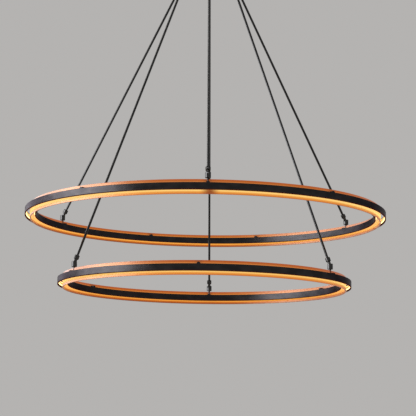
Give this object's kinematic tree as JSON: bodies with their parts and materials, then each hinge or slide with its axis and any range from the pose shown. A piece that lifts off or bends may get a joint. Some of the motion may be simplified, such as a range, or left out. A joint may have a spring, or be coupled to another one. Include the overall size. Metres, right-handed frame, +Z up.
{
  "type": "two-tier ring chandelier",
  "caption": "Ceiling chandelier with two lit copper and bronze hoops, one above the other, hung by splayed black cables from a round canopy.",
  "frame": {"origin": "middle of the ceiling bracket's upper face, on the ceiling plane", "axes": "+Z up out of the ceiling face, -Y to the front, where the upper ring's front cable hangs within a degree of the YZ plane"},
  "size_m": [0.9999, 1, 1.0409],
  "materials": {
    "copper_fin": "satin brushed",
    "bronze_band": "dark satin bronze",
    "canopy_bronze": "dark satin bronze",
    "black_hardware": "satin black",
    "cable_sleeve": "smooth satin black sheath",
    "light_strip": "frosted silicone, lit",
    "zinc_steel": "zinc plated",
    "driver_case": "moulded",
    "terminal_plastic": "moulded",
    "lead_sheath": "smooth sheath"
  },
  "bodies": {
    "canopy": {"canopy": "canopy_bronze", "ceiling_bracket": "zinc_steel", "canopy_studs": "zinc_steel", "stud_nuts": "zinc_steel", "cap_nuts": "black_hardware", "canopy_sockets": "black_hardware", "socket_studs": "zinc_steel", "socket_nuts": "zinc_steel", "led_driver": "driver_case", "driver_screws": "zinc_steel", "terminal_block": "terminal_plastic", "terminal_screw": "zinc_steel", "earth_screw": "zinc_steel", "canopy_leads": "lead_sheath"},
    "upper_tier": {"upper_fin": "copper_fin", "upper_outer_band": "bronze_band", "upper_inner_band": "bronze_band", "upper_outer_light_strip": "light_strip", "upper_inner_light_strip": "light_strip", "upper_spacers": "bronze_band", "upper_hanger_blocks": "bronze_band", "upper_rivets": "zinc_steel", "upper_stud_pins": "zinc_steel", "upper_hanger_studs": "bronze_band", "upper_front_barrel": "black_hardware", "upper_right_barrel": "black_hardware", "upper_left_barrel": "black_hardware"},
    "upper_front_cable": {"upper_front_cable": "cable_sleeve", "upper_front_cable_ring_ferrule": "black_hardware", "upper_front_cable_canopy_ferrule": "black_hardware"},
    "upper_right_cable": {"upper_right_cable": "cable_sleeve", "upper_right_cable_ring_ferrule": "black_hardware", "upper_right_cable_canopy_ferrule": "black_hardware"},
    "upper_left_cable": {"upper_left_cable": "cable_sleeve", "upper_left_cable_ring_ferrule": "black_hardware", "upper_left_cable_canopy_ferrule": "black_hardware"},
    "lower_tier": {"lower_fin": "copper_fin", "lower_outer_band": "bronze_band", "lower_inner_band": "bronze_band", "lower_outer_light_strip": "light_strip", "lower_inner_light_strip": "light_strip", "lower_spacers": "bronze_band", "lower_hanger_blocks": "bronze_band", "lower_rivets": "zinc_steel", "lower_stud_pins": "zinc_steel", "lower_hanger_studs": "bronze_band", "lower_rear_barrel": "black_hardware", "lower_left_barrel": "black_hardware", "lower_right_barrel": "black_hardware"},
    "lower_rear_cable": {"lower_rear_cable": "cable_sleeve", "lower_rear_cable_ring_ferrule": "black_hardware", "lower_rear_cable_canopy_ferrule": "black_hardware"},
    "lower_left_cable": {"lower_left_cable": "cable_sleeve", "lower_left_cable_ring_ferrule": "black_hardware", "lower_left_cable_canopy_ferrule": "black_hardware"},
    "lower_right_cable": {"lower_right_cable": "cable_sleeve", "lower_right_cable_ring_ferrule": "black_hardware", "lower_right_cable_canopy_ferrule": "black_hardware"}
  },
  "joints": [
    {"name": "upper_tier_sway", "type": "hinge", "parent": "canopy", "child": "upper_tier", "pos_m": [0, 0, 0.00394], "axis": [1, 0, 0], "range_deg": [-3, 3]},
    {"name": "upper_front_swivel", "type": "hinge", "parent": "upper_tier", "child": "upper_front_cable", "pos_m": [0.00507, -0.48447, -0.8036], "axis": [1, 0, 0], "range_deg": [-0.5, 0.5]},
    {"name": "upper_right_swivel", "type": "hinge", "parent": "upper_tier", "child": "upper_right_cable", "pos_m": [0.41703, 0.24663, -0.8036], "axis": [1, 0, 0], "range_deg": [-0.5, 0.5]},
    {"name": "upper_left_swivel", "type": "hinge", "parent": "upper_tier", "child": "upper_left_cable", "pos_m": [-0.4221, 0.23784, -0.8036], "axis": [1, 0, 0], "range_deg": [-0.5, 0.5]},
    {"name": "lower_tier_sway", "type": "hinge", "parent": "canopy", "child": "lower_tier", "pos_m": [0, 0, 0.04138], "axis": [1, 0, 0], "range_deg": [-3, 3]},
    {"name": "lower_rear_swivel", "type": "hinge", "parent": "lower_tier", "child": "lower_rear_cable", "pos_m": [0.01495, 0.38921, -0.9916], "axis": [1, 0, 0], "range_deg": [-0.5, 0.5]},
    {"name": "lower_left_swivel", "type": "hinge", "parent": "lower_tier", "child": "lower_left_cable", "pos_m": [-0.34454, -0.18166, -0.9916], "axis": [1, 0, 0], "range_deg": [-0.5, 0.5]},
    {"name": "lower_right_swivel", "type": "hinge", "parent": "lower_tier", "child": "lower_right_cable", "pos_m": [0.32959, -0.20755, -0.9916], "axis": [1, 0, 0], "range_deg": [-0.5, 0.5]}
  ],
  "couplings": [
    {"joint": "upper_front_swivel", "follows": "upper_tier_sway", "ratio": 0.08511},
    {"joint": "upper_right_swivel", "follows": "upper_tier_sway", "ratio": 0.08511},
    {"joint": "upper_left_swivel", "follows": "upper_tier_sway", "ratio": 0.08511},
    {"joint": "lower_rear_swivel", "follows": "lower_tier_sway", "ratio": 0.10811},
    {"joint": "lower_left_swivel", "follows": "lower_tier_sway", "ratio": 0.10811},
    {"joint": "lower_right_swivel", "follows": "lower_tier_sway", "ratio": 0.10811}
  ]
}
